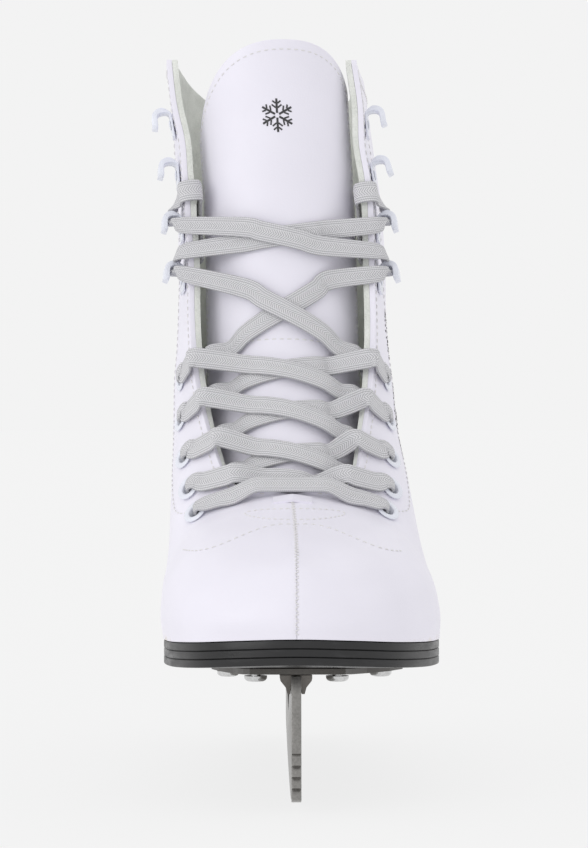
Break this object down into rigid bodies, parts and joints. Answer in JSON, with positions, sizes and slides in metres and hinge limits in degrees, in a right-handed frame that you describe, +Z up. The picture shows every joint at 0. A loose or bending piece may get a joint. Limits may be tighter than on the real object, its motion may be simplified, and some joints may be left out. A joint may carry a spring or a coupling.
{
  "type": "figure skate",
  "caption": "White high-top left figure skate with lace-up front, hooks and eyelets, black heeled sole and a steel blade with a toe pick.",
  "frame": {"origin": "the flat facet of the blade's edge that touches the ice under the ball of the foot, on the blade's centre plane", "axes": "toe towards -Y, heel towards +Y, outer (lateral) side of the left foot towards +X, +Z up from the ice"},
  "size_m": [0.1067, 0.267, 0.279],
  "materials": {
    "white_leather": "smooth coated white leather, semi-matt",
    "plush_lining": "short greenish-white plush",
    "fibre_board": "pressed fibre stiffener",
    "foam": "soft foam padding",
    "black_sole": "black, semi-gloss, three stacked bands",
    "dark_steel_plate": "dark brushed steel",
    "bright_root": "bright brazed steel root",
    "blade_steel": "satin grey steel",
    "screw_steel": "bright pan-head screws",
    "white_paint": "white painted metal",
    "lace_braid": "light grey flat woven braid"
  },
  "bodies": {
    "boot": {"back_stay": "white_leather", "blade": "blade_steel", "footbed": "foam", "front_mount_channel": "bright_root", "front_sole_plate": "dark_steel_plate", "heel_block": "black_sole", "heel_counter": "fibre_board", "heel_plate": "dark_steel_plate", "insole_board": "fibre_board", "lace": "lace_braid", "lining_lateral": "plush_lining", "lining_medial": "plush_lining", "outsole": "black_sole", "rear_mount_channel": "bright_root", "shank": "blade_steel", "throat_tab": "white_leather", "toe_puff": "fibre_board", "upper_lateral": "white_leather", "upper_medial": "white_leather", "front_screw_1": "screw_steel", "front_screw_2": "screw_steel", "front_screw_3": "screw_steel", "front_screw_4": "screw_steel", "front_screw_5": "screw_steel", "front_screw_6": "screw_steel", "heel_screw_1": "screw_steel", "heel_screw_2": "screw_steel", "heel_screw_3": "screw_steel", "heel_screw_4": "screw_steel", "eyelet_m1": "white_paint", "eyelet_m2": "white_paint", "eyelet_m3": "white_paint", "eyelet_m4": "white_paint", "eyelet_m5": "white_paint", "hook_m1": "white_paint", "hook_m2": "white_paint", "hook_m3": "white_paint", "hook_m4": "white_paint", "rivet_m1": "white_paint", "rivet_m2": "white_paint", "rivet_m3": "white_paint", "rivet_m4": "white_paint", "eyelet_l1": "white_paint", "eyelet_l2": "white_paint", "eyelet_l3": "white_paint", "eyelet_l4": "white_paint", "eyelet_l5": "white_paint", "hook_l1": "white_paint", "hook_l2": "white_paint", "hook_l3": "white_paint", "hook_l4": "white_paint", "rivet_l1": "white_paint", "rivet_l2": "white_paint", "rivet_l3": "white_paint", "rivet_l4": "white_paint"},
    "tongue": {"tongue_outer": "white_leather", "tongue_foam": "foam", "tongue_lining": "plush_lining"}
  },
  "joints": [
    {"name": "tongue_tilt", "type": "hinge", "parent": "boot", "child": "tongue", "pos_m": [0, -0.0175, 0.098], "axis": [1, 0, 0], "range_deg": [-8, 0], "stiffness_Nm_per_rad": 0.3}
  ]
}
